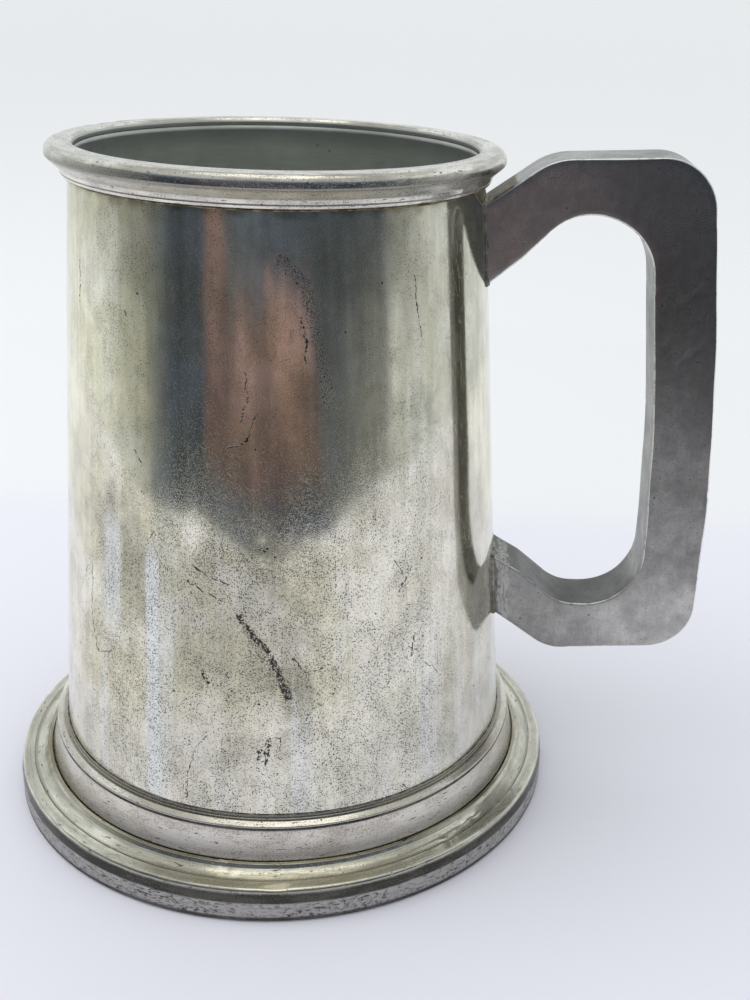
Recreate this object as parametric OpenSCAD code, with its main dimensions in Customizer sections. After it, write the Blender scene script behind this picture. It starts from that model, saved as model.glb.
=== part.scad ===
// Pewter pint tankard: a tapered drum with a turned rim, on a stepped base band and a flanged foot
// ring, with a flat-sided cast handle soldered to its side.
// The origin is the centre of the foot's underside, on the drum's axis. +Z is up, and the handle
// lies along +X.

/* [Drum] */
// Height of the lip above the table
tankard_h = 126; // [122:0.5:130]
// Outer radius of the drum just under the rim moulding
drum_top_r = 36.5; // [35.8:0.1:37.2]
// Outer radius of the drum where it meets the base band
drum_low_r = 44.15; // [43.6:0.05:44.6]
// Thickness of the drum's wall
wall = 1.2; // [1:0.1:1.5]
// Thickness of the floor plate
floor_t = 1.5; // [1.2:0.1:2]

/* [Rim] */
// Height of the rim moulding, from the drum to the top of the lip
rim_h = 5.7; // [5:0.1:6.5]
// Radius of the lip at its widest
lip_r = 39.85; // [39.4:0.05:40.4]
// How much the bore widens inside the lip
lip_flare = 0.6; // [0.2:0.1:0.8]

/* [Base] */
// Height of the top of the base band's cove
band_top = 15.6; // [15:0.1:16.5]
// Height of the foot ring's seat, where the base band stands on it
seat_z = 8; // [7.6:0.1:8.4]
// Radius of the base band at its lower edge
band_r = 47.7; // [47.3:0.1:48]
// Radius of the foot ring at its widest
foot_r = 54; // [53.5:0.1:55]
// Height of the drum's lower end above the table
recess_h = 6; // [5.6:0.1:6.4]

/* [Handle] */
// Width of the handle across its flat sides
handle_w = 11.4; // [9:0.1:13]
// Height of the top of the handle's upper arm
handle_top = 126.9; // [125.5:0.1:127.5]
// Height of the underside of the handle's lower arm
handle_low = 30.2; // [29.6:0.1:31.6]
// Distance from the drum's axis to the outside of the grip
handle_reach = 82.2; // [80:0.1:84]
// Depth of the upper arm
upper_arm_t = 10.8; // [10:0.1:11.5]
// Depth of the lower arm
lower_arm_t = 10.3; // [9:0.1:10.6]
// Depth of the upright grip
grip_t = 11.8; // [10.5:0.1:12]

/* [Solder] */
// How far the solder collars spread round the handle's ends
collar = 0.9; // [0.6:0.1:1.2]
// How far the solder stands off the drum
collar_t = 0.6; // [0.4:0.1:0.8]

/* [Hidden] */
$fn = 96;
// Height at which the rim moulding starts
rim_z = tankard_h - rim_h;
// Widening of the drum for each millimetre that it goes down
taper = (drum_low_r - drum_top_r) / (rim_z - band_top);
// Height at which the drum's wall ends, inside the lip
drum_top_z = tankard_h - 1.5;
// Rim: height of the flare, rounding and face height of the lip, depth and lower edge of the neck
flare_h = 0.7;
lip_round = 1.6;
lip_face_h = 2.25;
neck_in = 2.4;
neck_h = 4.35;
// Base band: drop of the bead below the band's top, how far the fascia spreads below the bead, drop of the
// upper and lower edges of the bead's face, and the depth, middle and lower edge of the groove under it
cove_h = 0.85;
fascia_spread = 1.4;
bead_drop = 0.25;
bead_h = 0.58;
groove_in = 0.22;
groove_z = 0.76;
groove_end = 0.94;
// Foot: width and rise of the raised lip, the hollow's step in from the edge and its drop below the seat,
// drop of the edge's widest point, width of the part that stands on the table, width of the drum's seat
raised_w = 1.2;
raised_h = 0.3;
step_in = 2.85;
hollow_drop = 1.25;
edge_drop = 3.7;
stand_w = 2.6;
spigot_w = 1.6;
// Handle: where its outline starts, well inside the drum's wall
root_x = 33;
// Handle: x where the upper arm levels out, outside and inside, and where the lower arm does
upper_out_x = handle_reach - 34.6;
upper_in_x = handle_reach - 31.3;
lower_out_x = handle_reach - 28.9;
lower_in_x = handle_reach - 27.6;
// Handle: heights of the points between which the grip bows a little, outside and inside
grip_high_z = handle_low + 63.4;
grip_low_z = handle_low + 31.4;
palm_high_z = handle_low + 47.4;
palm_low_z = handle_low + 25.4;
// Handle: heights of its four outline ends at the root, below its top and above its underside
root_top = 12;
root_under = 27.4;
root_low = 14;
root_over = 24.6;
// Largest step of an arc, in degrees
arc_step = 10;

// Outer radius of the drum at height z
function drum_r(z) = drum_top_r + taper * (rim_z - z);

// Length of a 2-D vector, and the vector made one long
function size(v) = sqrt(v * v);
function unit(v) = v / size(v);

// The points of an arc that rounds the corner at p, between its neighbours a and b, with radius r
function round_corner(a, p, b, r) =
    let (u = unit(a - p), v = unit(b - p))
    let (half = acos(u * v) / 2, centre = p + unit(u + v) * r / sin(half))
    let (from = p + u * r / tan(half) - centre, to = p + v * r / tan(half) - centre)
    let (turn = 180 - 2 * half, n = ceil(turn / arc_step))
    let (side = sign(from.x * to.y - from.y * to.x), start = atan2(from.y, from.x))
    [for (i = [0 : n]) centre + r * [cos(start + side * turn * i / n), sin(start + side * turn * i / n)]];

// A closed outline from corners given as [x, y, radius], each rounded by its radius
function rounded(c) =
    let (n = len(c), at = function (i) [c[i % n].x, c[i % n].y])
    [for (i = [0 : n - 1])
        each (c[i].z == 0 ? [at(i)] : round_corner(at(i + n - 1), at(i), at(i + 1), c[i].z))];

// A ring turned from an outline of rounded corners
module turned(corners) {
    rotate_extrude() polygon(rounded(corners));
}

// A cone that follows the drum's outside, stand millimetres off it, from z0 up to z1
module drum_cone(z0, z1, stand = 0) {
    translate([0, 0, z0]) cylinder(h = z1 - z0, r1 = drum_r(z0) + stand, r2 = drum_r(z1) + stand);
}

// The drum: a tapered tube, open at both ends
module body_drum() {
    color([0.74, 0.73, 0.70])
    rotate_extrude() polygon([
        [drum_r(recess_h) - wall, recess_h],
        [drum_r(recess_h), recess_h],
        [drum_r(drum_top_z), drum_top_z],
        [drum_r(drum_top_z) - wall, drum_top_z]]);
}

// The floor: a disc that fits inside the lower end of the drum
module floor_plate() {
    color([0.42, 0.42, 0.40])
    translate([0, 0, recess_h])
    cylinder(h = floor_t, r1 = drum_r(recess_h) - wall, r2 = drum_r(recess_h + floor_t) - wall);
}

// The rim: a rolled lip over the drum's upper end, a sloping neck and a small bead below it
module rim_band() {
    bore_r = drum_r(drum_top_z) - wall;
    color([0.80, 0.79, 0.76])
    turned([
        [drum_r(rim_z), rim_z, 0],
        [drum_r(drum_top_z), drum_top_z, 0],
        [bore_r, drum_top_z, 0],
        [bore_r, tankard_h - flare_h, 0.4],
        [bore_r + lip_flare, tankard_h, 0.3],
        [lip_r, tankard_h, lip_round],
        [lip_r, tankard_h - lip_face_h, 0.6],
        [lip_r - neck_in, tankard_h - neck_h, 0.8],
        [lip_r - neck_in - 0.1, rim_z + 0.35, 0.35]]);
}

// The base band: a small cove under the drum, a bead, and a spreading fascia
module base_band() {
    bead_z = band_top - cove_h;
    bead_r = band_r - fascia_spread;
    cove_r = drum_r(band_top) + 0.15;
    color([0.72, 0.70, 0.67])
    turned([
        [drum_r(seat_z), seat_z, 0],
        [band_r, seat_z, 0.2],
        [bead_r, bead_z - groove_end, 0.1],
        [bead_r - groove_in, bead_z - groove_z, 0.07],
        [bead_r, bead_z - bead_h, 0.1],
        [bead_r, bead_z - bead_drop, 0.25],
        [bead_r - 1, bead_z + 0.3, 0.3],
        [cove_r, bead_z + 0.15, 0.2],
        [cove_r, band_top, 0],
        [drum_r(band_top), band_top, 0]]);
}

// The foot ring: a seat for the band, a raised lip, a hollow, a rolled edge and a turned-down rim
module foot_ring() {
    step_r = foot_r - step_in;
    low_r = drum_r(recess_h);
    color([0.66, 0.65, 0.62])
    turned([
        [drum_r(seat_z), seat_z, 0],
        [band_r + 0.15, seat_z, 0],
        [band_r + 0.15, seat_z + raised_h, 0.06],
        [band_r + 0.75, seat_z + raised_h - 0.14, 0.22],
        [band_r + raised_w, seat_z - 0.4, 0.3],
        [step_r - 1.2, seat_z - 1.05, 4],
        [step_r, seat_z - hollow_drop, 0],
        [step_r + 0.25, seat_z - hollow_drop + 0.3, 0.2],
        [foot_r - 0.45, seat_z - hollow_drop, 0.75],
        [foot_r, seat_z - edge_drop, 0.4],
        [foot_r, 0, 0.8],
        [foot_r - stand_w, 0, 0.5],
        [foot_r - stand_w, recess_h - 2.2, 1.4],
        [low_r - spigot_w, recess_h - 0.8, 0],
        [low_r - spigot_w, recess_h, 0],
        [low_r, recess_h, 0]]);
}

// The outline of the handle's flat side, as corners [x, z, radius] from the upper root round to it
function handle_corners() = [
    [root_x, handle_top - root_top, 0],
    [upper_out_x, handle_top - 1.6, 12],
    [handle_reach - 6.8, handle_top, 9.5],
    [handle_reach - 2.7, grip_high_z, 120],
    [handle_reach - 0.4, grip_low_z, 120],
    [handle_reach - 0.7, handle_low + 1.9, 9],
    [lower_out_x, handle_low, 9],
    [root_x, handle_low + root_low, 0],
    [root_x, handle_low + root_over, 0],
    [handle_reach - 35.5, handle_low + 16.7, 6],
    [lower_in_x, handle_low + lower_arm_t - 0.1, 9],
    [handle_reach - grip_t - 0.2, handle_low + lower_arm_t, 11],
    [handle_reach - grip_t, palm_low_z, 100],
    [handle_reach - grip_t - 0.7, palm_high_z, 150],
    [handle_reach - grip_t - 4.6, handle_top - upper_arm_t, 11.5],
    [upper_in_x, handle_top - upper_arm_t, 10],
    [handle_reach - 38.8, handle_top - 18.7, 15],
    [root_x, handle_top - root_under, 0]];

// The handle's casting before its ends are cut: the outline, as thick as the handle is wide
module handle_bar() {
    rotate([90, 0, 0])
    linear_extrude(height = handle_w, center = true)
    polygon(rounded(handle_corners()));
}

// The handle: one flat-sided casting, its two ends cut to the drum's cone
module handle() {
    color([0.52, 0.50, 0.49])
    difference() {
        handle_bar();
        drum_cone(0, tankard_h + 10);
    }
}

// A fillet of solder in the corner of a turned joint: legs along r and z, with a hollow face
module solder_ring(r, z, leg_r, leg_z, lean) {
    color([0.45, 0.42, 0.34])
    rotate_extrude()
    polygon([[r, z], [r + leg_r, z], [r + leg_r * 0.3, z + leg_z * 0.3], [r + lean * leg_z, z + leg_z]]);
}

// The solder line under the rim moulding
module rim_solder_seam() {
    solder_ring(drum_r(rim_z), rim_z, 0.45, -0.45, -taper);
}

// The solder line between the drum and the base band's cove
module band_solder_seam() {
    solder_ring(drum_r(band_top), band_top, 0.15, 0.4, -taper);
}

// The solder run between the base band and the foot ring's raised lip
module foot_solder_seam() {
    color([0.40, 0.37, 0.22])
    rotate_extrude() translate([band_r - 0.02, seat_z]) square([0.17, 0.16]);
}

// The solder fillet inside, between the floor plate and the drum's wall
module floor_solder_seam() {
    top = recess_h + floor_t;
    solder_ring(drum_r(top) - wall, top, -1.4, 1.4, -taper);
}

// A collar of solder round an end of the handle: low and high are its edges at the drum, and rise is
// how far each edge goes up for each millimetre outwards
module handle_collar(low, high, rise_low, rise_high) {
    near = drum_r(high) - 4;
    far = drum_r(low) + 2;
    color([0.42, 0.39, 0.28])
    difference() {
        intersection() {
            drum_cone(low - 12, high + 12, collar_t);
            rotate([90, 0, 0])
            linear_extrude(height = handle_w + 2 * collar, center = true)
            polygon([
                [near, low - collar + rise_low * (near - drum_r(low))],
                [far, low - collar + rise_low * (far - drum_r(low))],
                [far, high + collar + rise_high * (far - drum_r(high))],
                [near, high + collar + rise_high * (near - drum_r(high))]]);
        }
        drum_cone(low - 14, high + 14);
        handle_bar();
    }
}

// The solder collar round the handle's upper end
module upper_handle_solder() {
    handle_collar(handle_top - 23.4, handle_top - 9.4, 0.87, 0.71);
}

// The solder collar round the handle's lower end
module lower_handle_solder() {
    handle_collar(handle_low + 7.7, handle_low + 19.4, -0.7, -0.64);
}

body_drum();
floor_plate();
rim_band();
base_band();
foot_ring();
handle();
rim_solder_seam();
band_solder_seam();
foot_solder_seam();
floor_solder_seam();
upper_handle_solder();
lower_handle_solder();
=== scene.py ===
import math

import bmesh
import bpy
import numpy as np
from mathutils import Matrix, Vector


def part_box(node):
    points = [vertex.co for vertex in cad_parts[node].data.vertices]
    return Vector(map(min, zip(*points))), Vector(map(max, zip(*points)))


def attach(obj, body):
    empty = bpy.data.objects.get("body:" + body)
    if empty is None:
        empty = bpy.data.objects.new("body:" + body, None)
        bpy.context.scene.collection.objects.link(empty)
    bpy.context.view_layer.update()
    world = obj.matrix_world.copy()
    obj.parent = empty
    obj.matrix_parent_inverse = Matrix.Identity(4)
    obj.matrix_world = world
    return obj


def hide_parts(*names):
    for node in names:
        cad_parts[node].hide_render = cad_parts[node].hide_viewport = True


# A pewter pint tankard: the looks of each part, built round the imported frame.
# Lengths are millimetres up to make_mesh, which writes metres. The row's origin is the middle of
# the foot's underside, +Z is up and the handle lies along +X, so the photographed side faces -Y.

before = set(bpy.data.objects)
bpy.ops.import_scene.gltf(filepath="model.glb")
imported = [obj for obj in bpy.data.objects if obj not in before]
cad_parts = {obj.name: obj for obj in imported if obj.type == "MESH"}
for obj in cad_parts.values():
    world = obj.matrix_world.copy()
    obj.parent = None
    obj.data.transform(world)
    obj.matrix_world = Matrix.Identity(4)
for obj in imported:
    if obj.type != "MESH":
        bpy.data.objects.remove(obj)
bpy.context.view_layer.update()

MM = 0.001
X, Y, Z = 0, 1, 2
SEED = 7

# ---------------- sizes read from the frame


def lowest(node, axis):
    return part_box(node)[0][axis] / MM


def highest(node, axis):
    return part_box(node)[1][axis] / MM


LIP_R = highest("rim_band", Y)
LIP_Z = highest("rim_band", Z)
RIM_Z = lowest("rim_band", Z)
DRUM_TOP_Z = highest("body_drum", Z)
RECESS_Z = lowest("body_drum", Z)
DRUM_FOOT_R = highest("body_drum", Y)
BAND_R = highest("base_band", Y)
BAND_TOP = highest("base_band", Z)
SEAT_Z = lowest("base_band", Z)
FOOT_R = highest("foot_ring", Y)
FLOOR_TOP = highest("floor_plate", Z)
HANDLE_W = 2 * highest("handle", Y)
HANDLE_TOP = highest("handle", Z)
HANDLE_LOW = lowest("handle", Z)
REACH = highest("handle", X)

# Sizes that no box states
DRUM_TOP_R = 36.5
WALL = 1.2
LIP_FLARE = 0.6
TAPER = (DRUM_FOOT_R - DRUM_TOP_R) / (RIM_Z - RECESS_Z)
CLEAR = 0.02
LIP_ROUND, LIP_FACE_H, LIP_IN = 1.6, 2.25, 2.3
COVE_H, FASCIA_SPREAD = 0.85, 1.4
STEP_IN, HOLLOW_DROP, EDGE_DROP, STAND_W, SPIGOT_W = 2.85, 1.25, 3.7, 2.6, 1.6
# Flat sides round each turned ring, round the floor plate, and the finest pitch of their outlines
RING_SIDES, PLATE_SIDES = 400, 200
FINE = 0.22


def drum_r(z):
    """Outer radius of the drum at height z."""
    return DRUM_TOP_R + TAPER * (RIM_Z - z)


# ---------------- soft random relief


def lattice(cell, seed):
    """A repeatable random value from -1 to 1 for each whole-numbered cell."""
    h = cell[:, 0] * 73856093 ^ cell[:, 1] * 19349663 ^ cell[:, 2] * 83492791 ^ seed * 2654435761
    h = (h ^ (h >> 13)) * 1274126177 & 0x7FFFFFFF
    h = (h ^ (h >> 16)) & 0xFFFFFF
    return h / 0x7FFFFF - 1


def wander(points, size, seed):
    """Smooth random values from -1 to 1 at 3-D points, changing over about size."""
    p = np.asarray(points, float) / size + 4096
    cell = np.floor(p).astype(np.int64)
    f = p - cell
    f = f * f * (3 - 2 * f)
    total = np.zeros(len(p))
    for corner in np.ndindex(2, 2, 2):
        weight = np.prod(np.where(corner, f, 1 - f), axis=1)
        total += weight * lattice(cell + np.array(corner), seed)
    return total


def dents(points, places):
    """How far each point moves in for round dents, each (x, y, z, radius, depth)."""
    out = np.zeros(len(points))
    for *centre, radius, depth in places:
        d = np.linalg.norm(points - np.array(centre), axis=1) / radius
        out -= depth * np.exp(-2 * d * d)
    return out


# ---------------- outlines and meshes


def corner_arc(before, corner, after, step):
    """The points of the arc that rounds a corner (x, y, radius) between its two neighbours."""
    p, radius = np.array(corner[:2]), corner[2]
    a, b = np.array(before[:2]) - p, np.array(after[:2]) - p
    a, b = a / np.linalg.norm(a), b / np.linalg.norm(b)
    half = math.acos(np.clip(a @ b, -1, 1)) / 2
    centre = p + (a + b) / np.linalg.norm(a + b) * radius / math.sin(half)
    start = p + a * radius / math.tan(half) - centre
    end = p + b * radius / math.tan(half) - centre
    turn = math.pi - 2 * half
    side = math.copysign(1, start[0] * end[1] - start[1] * end[0])
    count = max(2, math.ceil(math.degrees(turn) / step))
    first = math.atan2(start[1], start[0])
    angles = [first + side * turn * k / count for k in range(count + 1)]
    return [centre + radius * np.array((math.cos(t), math.sin(t))) for t in angles]


def rounded(corners, step=8):
    """The points of a closed outline from corners (x, y, radius), each rounded by its radius."""
    out = []
    for i, corner in enumerate(corners):
        if corner[2] == 0:
            out.append(np.array(corner[:2]))
        else:
            out += corner_arc(corners[i - 1], corner, corners[(i + 1) % len(corners)], step)
    return np.array(out)


def filled_in(points, pitch):
    """The same closed outline with points no further apart than pitch."""
    out = []
    for a, b in zip(points, np.roll(points, -1, 0)):
        steps = max(1, math.ceil(np.linalg.norm(b - a) / pitch))
        out += [a + (b - a) * k / steps for k in range(steps)]
    return np.array(out)


def make_mesh(name, vertices, faces, material, along=None):
    """A smooth mesh object in metres, from vertices in mm. along is each vertex's place along the
    turned outline, in mm."""
    mesh = bpy.data.meshes.new(name)
    mesh.from_pydata((np.asarray(vertices, float) * MM).tolist(), [], [tuple(f) for f in faces])
    if along is not None:
        attribute = mesh.attributes.new("along", "FLOAT", "POINT")
        attribute.data.foreach_set("value", np.asarray(along, np.float32))
    mesh.validate()
    mesh.shade_smooth()
    mesh.materials.append(material)
    piece = bpy.data.objects.new(name, mesh)
    bpy.context.scene.collection.objects.link(piece)
    return piece


def grid_faces(rows, around, closed=True):
    """Four-sided faces between rows of around points each. closed joins the last row to the first."""
    i, j = np.meshgrid(np.arange(rows if closed else rows - 1), np.arange(around), indexing="ij")
    i2, j2 = (i + 1) % rows, (j + 1) % around
    corners = (i * around + j, i2 * around + j, i2 * around + j2, i * around + j2)
    return np.stack(corners, -1).reshape(-1, 4)


def outline_area(points):
    """A closed outline's area, above 0 when it runs anticlockwise."""
    after = np.roll(points, -1, 0)
    return np.sum(points[:, 0] * after[:, 1] - after[:, 0] * points[:, 1]) / 2


def outline_normals(points):
    """Outward unit normals of a closed outline that runs anticlockwise."""
    t = np.roll(points, -1, 0) - np.roll(points, 1, 0)
    t /= np.linalg.norm(t, axis=1)[:, None]
    return np.stack((t[:, 1], -t[:, 0]), 1)


def turned(name, corners, pitch, segments, material, relief=None):
    """A ring turned from an outline of rounded corners (r, z, radius). relief gives how far each
    vertex moves out. Points on the axis are joined."""
    outline = filled_in(rounded(corners), pitch)
    if outline_area(outline) < 0:
        outline = outline[::-1]
    normals = outline_normals(outline)
    steps = np.linalg.norm(np.diff(outline, axis=0, append=outline[:1]), axis=1)
    along = np.concatenate(([0], np.cumsum(steps)[:-1]))
    angle = np.arange(segments) * 2 * math.pi / segments
    c, s = np.cos(angle)[:, None], np.sin(angle)[:, None]
    r, z = outline[:, 0][None, :], outline[:, 1][None, :]
    flat = (segments, len(outline))
    points = np.stack((c * r, s * r, np.broadcast_to(z, flat)), -1).reshape(-1, 3)
    nr, nz = normals[:, 0][None, :], normals[:, 1][None, :]
    out = np.stack((c * nr, s * nr, np.broadcast_to(nz, flat)), -1).reshape(-1, 3)
    if relief is not None:
        points = points + out * relief(points)[:, None]
    faces = grid_faces(segments, len(outline))
    piece = make_mesh(name, points, faces, material, np.tile(along, segments))
    if outline[:, 0].min() < 0.001:
        weld(piece)
    return piece


def weld(piece):
    """Join vertices that lie at the same point and drop faces that have no area."""
    soft = bmesh.new()
    soft.from_mesh(piece.data)
    bmesh.ops.remove_doubles(soft, verts=soft.verts, dist=1e-7)
    bmesh.ops.dissolve_degenerate(soft, edges=soft.edges, dist=1e-7)
    soft.to_mesh(piece.data)
    soft.free()


def line_with(piece, material, inside):
    """Give the faces whose middle, in mm, passes the test another material."""
    piece.data.materials.append(material)
    for face in piece.data.polygons:
        if inside(face.center / MM):
            face.material_index = 1


# ---------------- material nodes


class Finish:
    """Builds one material's nodes. An input may be a plain value or another node's socket."""

    def __init__(self, name):
        self.material = bpy.data.materials.new(name)
        self.material.use_nodes = True
        self.tree = self.material.node_tree
        self.tree.nodes.clear()
        self.output = self.tree.nodes.new("ShaderNodeOutputMaterial")
        place = self.node("TexCoord").outputs["Object"]
        self.mm = self.scaled(place, 1 / MM)
        self.x, self.y, self.z = self.split(self.mm)
        flat = self.vector("MULTIPLY", self.mm, (1, 1, 0))
        self.outward = self.vector("NORMALIZE", flat)
        self.radius = self.vector("LENGTH", flat)

    def node(self, kind, **settings):
        n = self.tree.nodes.new("ShaderNode" + kind)
        for key, value in settings.items():
            setattr(n, key, value)
        return n

    def put(self, socket, value):
        if isinstance(value, bpy.types.NodeSocket):
            self.tree.links.new(value, socket)
        elif isinstance(value, (tuple, list)) and socket.type == "RGBA" and len(value) == 3:
            socket.default_value = (*value, 1)
        else:
            socket.default_value = value

    def math(self, op, a, b=0, c=0, clamp=False):
        n = self.node("Math", operation=op, use_clamp=clamp)
        for socket, value in zip(n.inputs, (a, b, c)):
            self.put(socket, value)
        return n.outputs[0]

    def fold(self, op, values):
        out = values[0]
        for v in values[1:]:
            out = self.math(op, out, v)
        return out

    def product(self, *values):
        return self.fold("MULTIPLY", values)

    def total(self, *values):
        return self.fold("ADD", values)

    def most(self, *values):
        return self.fold("MAXIMUM", values)

    def least(self, *values):
        return self.fold("MINIMUM", values)

    def minus(self, a, b):
        return self.math("SUBTRACT", a, b)

    def size(self, a):
        return self.math("ABSOLUTE", a)

    def vector(self, op, a, b=(0, 0, 0), scale=1):
        n = self.node("VectorMath", operation=op)
        self.put(n.inputs[0], a)
        if op == "SCALE":
            self.put(n.inputs["Scale"], scale)
        elif op not in ("NORMALIZE", "LENGTH"):
            self.put(n.inputs[1], b)
        single = op in ("LENGTH", "DOT_PRODUCT", "DISTANCE")
        return n.outputs["Value"] if single else n.outputs["Vector"]

    def moved(self, v, by):
        return self.vector("ADD", v, by)

    def scaled(self, v, amount):
        return self.vector("SCALE", v, scale=amount)

    def split(self, v):
        n = self.node("SeparateXYZ")
        self.put(n.inputs[0], v)
        return n.outputs[0], n.outputs[1], n.outputs[2]

    def join(self, x, y, z=0):
        n = self.node("CombineXYZ")
        for socket, value in zip(n.inputs, (x, y, z)):
            self.put(socket, value)
        return n.outputs[0]

    def noise(self, v, size, detail=2, rough=0.5):
        """Smooth noise about 0.5, changing over about size, in v's own unit."""
        n = self.node("TexNoise")
        self.put(n.inputs["Vector"], v)
        self.put(n.inputs["Scale"], 1 / size)
        self.put(n.inputs["Detail"], detail)
        self.put(n.inputs["Roughness"], rough)
        return n.outputs[0]

    def cells(self, v, size):
        """Distance in cells to the nearest of many points size apart, and that point's random value."""
        n = self.node("TexVoronoi")
        self.put(n.inputs["Vector"], v)
        self.put(n.inputs["Scale"], 1 / size)
        pick = self.split(n.outputs["Color"])[0]
        return n.outputs["Distance"], pick

    def ramp(self, value, low, high, to_low=0, to_high=1, smooth=True):
        """value from low to high becomes to_low to to_high, and stays there beyond."""
        n = self.node("MapRange", interpolation_type="SMOOTHSTEP" if smooth else "LINEAR", clamp=True)
        for socket, v in zip(n.inputs, (value, low, high, to_low, to_high)):
            self.put(socket, v)
        return n.outputs[0]

    def table(self, value, low, high, stops):
        """A grey level read off straight lines between stops (value, level)."""
        n = self.node("ValToRGB")
        self.put(n.inputs[0], self.ramp(value, low, high, smooth=False))
        ramp = n.color_ramp
        while len(ramp.elements) > 1:
            ramp.elements.remove(ramp.elements[0])
        for k, (place, level) in enumerate(stops):
            share = (place - low) / (high - low)
            stop = ramp.elements[0] if k == 0 else ramp.elements.new(share)
            stop.position = share
            stop.color = (level, level, level, 1)
        return self.split(n.outputs[0])[0]

    def blend(self, share, a, b, kind="MIX"):
        n = self.node("Mix", data_type="RGBA", blend_type=kind)
        self.put(n.inputs[0], share)
        self.put(n.inputs[6], a)
        self.put(n.inputs[7], b)
        return n.outputs[2]

    def shade(self, colour, amount):
        """The colour times a grey amount."""
        return self.blend(1, colour, self.join(amount, amount, amount), "MULTIPLY")

    def specks(self, v, size, reach, share):
        """Round spots: 1 inside. reach is a spot's radius in cells and share how many cells have one."""
        distance, pick = self.cells(v, size)
        has = self.math("LESS_THAN", pick, share)
        near = self.ramp(distance, reach * 0.5, reach, 1, 0)
        return self.product(has, near)

    def around(self, stretch=1, spread=40):
        """3-D coordinates in mm that go round the axis with no seam, with heights times stretch."""
        x, y, _ = self.split(self.scaled(self.outward, spread))
        return self.join(x, y, self.product(self.z, stretch))

    def unrolled(self, spread=40):
        """Arc length and height in mm. The arc is 0 at -Y and grows towards the handle."""
        arc = self.math("ARCTAN2", self.x, self.product(self.y, -1))
        return self.join(self.product(arc, spread), self.z)

    def along(self):
        """Place along the turned outline, in mm."""
        return self.node("Attribute", attribute_name="along").outputs["Fac"]

    def scratches(self, v, turn, length, spacing, width, share):
        """Fine scratches in the plane of v, turned by an angle in degrees."""
        spin = self.node("VectorRotate", rotation_type="Z_AXIS")
        self.put(spin.inputs["Vector"], v)
        self.put(spin.inputs["Angle"], math.radians(turn))
        x, y, _ = self.split(spin.outputs[0])
        stretched = self.join(self.math("DIVIDE", x, length), self.math("DIVIDE", y, spacing), turn * 0.37)
        level = self.noise(stretched, 1, 1)
        line = self.ramp(self.size(self.minus(level, 0.5)), 0, width, 1, 0)
        place = self.noise(self.moved(v, (31 * turn, 7, 3)), length * 0.7, 1)
        return self.product(line, self.ramp(place, 1 - share, 1.06 - share))

    def strokes(self, v, lines):
        """How near v is to listed marks. Each line is (points, half width in mm, strength)."""
        out = 0
        for points, width, strength in lines:
            for a, b in zip(points, points[1:]):
                a, b = np.array((*a, 0)), np.array((*b, 0))
                ab = b - a
                from_a = self.vector("SUBTRACT", v, tuple(a))
                share = self.vector("DOT_PRODUCT", from_a, tuple(ab / max(ab @ ab, 1e-9)))
                share = self.most(self.least(share, 1), 0)
                nearest = self.scaled(tuple(ab), share)
                off = self.vector("DISTANCE", from_a, nearest)
                out = self.most(out, self.ramp(off, width * 0.35, width, strength, 0))
        return out

    def bump(self, *layers):
        """A normal from heights in mm."""
        n = self.node("Bump")
        self.put(n.inputs["Strength"], 1)
        self.put(n.inputs["Distance"], MM)
        self.put(n.inputs["Height"], self.total(*layers))
        return n.outputs[0]

    def metal(self, colour, roughness, normal=None):
        n = self.node("BsdfPrincipled")
        n.inputs["Metallic"].default_value = 1
        self.put(n.inputs["Base Color"], colour)
        self.put(n.inputs["Roughness"], roughness)
        if normal is not None:
            self.put(n.inputs["Normal"], normal)
        self.tree.links.new(n.outputs[0], self.output.inputs["Surface"])
        return self.material


# Colours, in linear light
BRIGHT = (0.90, 0.87, 0.76)
WARM = (0.88, 0.835, 0.62)
COOL = (0.86, 0.90, 0.90)
# Dark grime for pits and spots; on the turned rings the same colour also paints shade and dark reflections
GRIME_AND_SHADE = (0.060, 0.058, 0.052)
OLIVE = (0.20, 0.16, 0.075)
SCUFFED = (0.56, 0.54, 0.53)
INSIDE, INSIDE_DARK = (0.88, 0.90, 0.855), (0.78, 0.80, 0.75)
CAST, CAST_DARK = (0.44, 0.435, 0.405), (0.345, 0.338, 0.318)
# Pale worn metal, used with a painted highlight on the handle's rounded edges
WORN_EDGE_AND_HIGHLIGHT = (0.86, 0.86, 0.83)
SCRAPED = (0.60, 0.60, 0.55)
SMEARED = (0.13, 0.125, 0.11)
RESIDUE = (0.17, 0.145, 0.07)

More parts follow.
